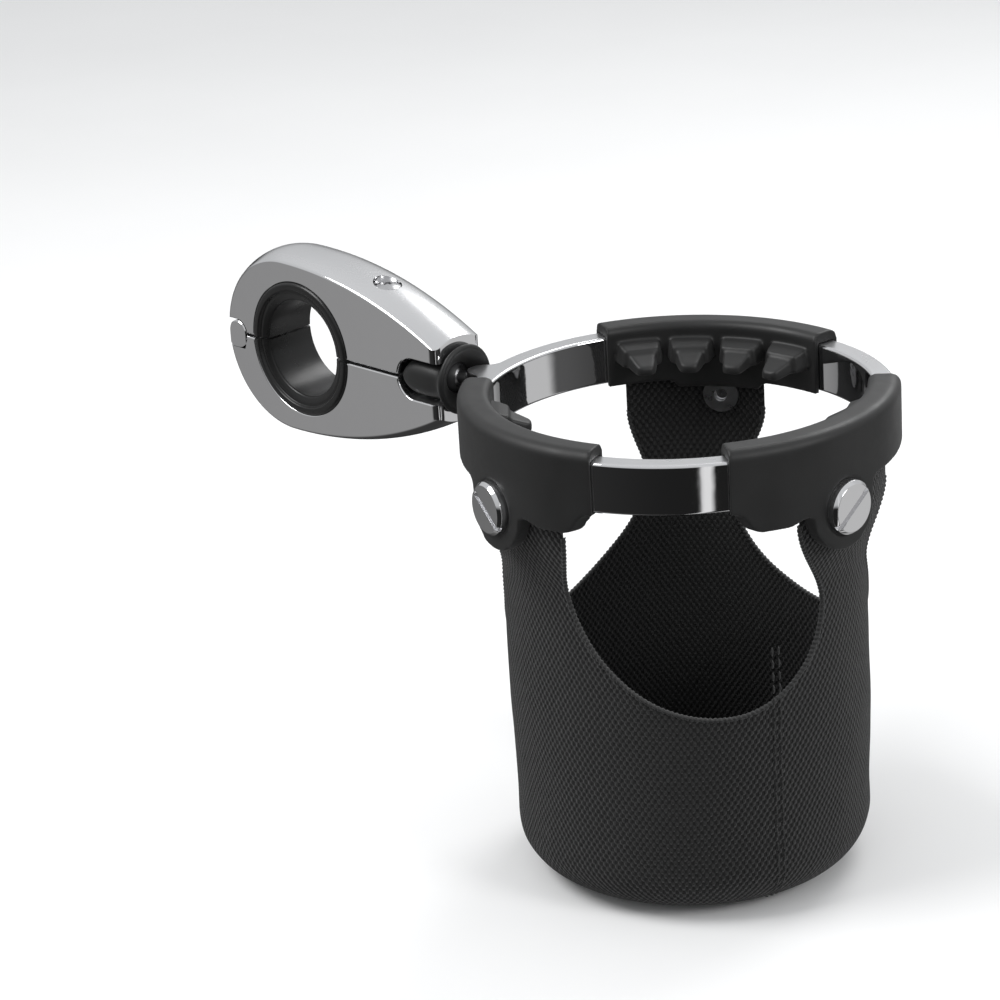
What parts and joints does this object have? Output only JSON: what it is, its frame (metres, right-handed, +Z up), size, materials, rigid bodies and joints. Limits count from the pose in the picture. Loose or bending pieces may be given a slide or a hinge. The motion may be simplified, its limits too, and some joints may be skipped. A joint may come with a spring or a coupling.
{
  "type": "handlebar drink holder",
  "caption": "Clamp-on drink holder: a hinged two-jaw bar clamp with a rubber liner, a ball joint in a rubber boot, and a ring with rubber grips and a hanging woven basket.",
  "frame": {"origin": "centre of the clamp's bore, halfway along its liner", "axes": "+Y along the clamped bar, +X out of the clamp's nose towards the ball joint, +Z up"},
  "size_m": [0.1898, 0.1077, 0.1415],
  "materials": {
    "chrome": "polished",
    "steel": "satin",
    "rubber": "satin",
    "nylon": "matt",
    "woven_fabric": "coarse plain weave"
  },
  "bodies": {
    "clamp": {"upper_jaw": "chrome", "upper_liner": "rubber", "hinge_pin": "steel", "lock_washer": "steel", "socket_boot": "rubber"},
    "lower_clamp": {"lower_jaw": "chrome", "lower_liner": "rubber"},
    "screw": {"clamp_screw": "steel"},
    "seat": {"ball_seat": "nylon"},
    "stud": {"ball_stud": "steel"},
    "cup_carrier": {"cup_ring": "chrome", "grip_left": "rubber", "grip_right": "rubber", "grip_rear": "rubber", "basket_screws": "chrome", "barrel_nuts": "steel", "tab_eyelets": "steel", "basket_wall": "woven_fabric", "basket_floor": "woven_fabric", "floor_tape": "woven_fabric"}
  },
  "joints": [
    {"name": "jaw_hinge", "type": "hinge", "parent": "clamp", "child": "lower_clamp", "pos_m": [-0.0241, 0, 0], "axis": [0, 1, 0], "range_deg": [0, 45]},
    {"name": "screw_lift", "type": "slide", "parent": "clamp", "child": "screw", "axis": [0, 0, 1], "range_m": [0, 0.018]},
    {"name": "arm_yaw", "type": "hinge", "parent": "clamp", "child": "seat", "pos_m": [0.0465, 0, 0], "axis": [0, 0, 1], "range_deg": [-37, 2]},
    {"name": "arm_tilt", "type": "hinge", "parent": "seat", "child": "stud", "pos_m": [0.0465, 0, 0], "axis": [-0.304, 0.9527, 0], "range_deg": [-8, 8]},
    {"name": "arm_roll", "type": "hinge", "parent": "stud", "child": "cup_carrier", "pos_m": [0.0465, 0, 0], "axis": [0.9527, 0.304, 0], "range_deg": [-8, 8]}
  ],
  "couplings": [
    {"joint": "screw_lift", "follows": "jaw_hinge", "m_per_rad": 0.0229}
  ]
}
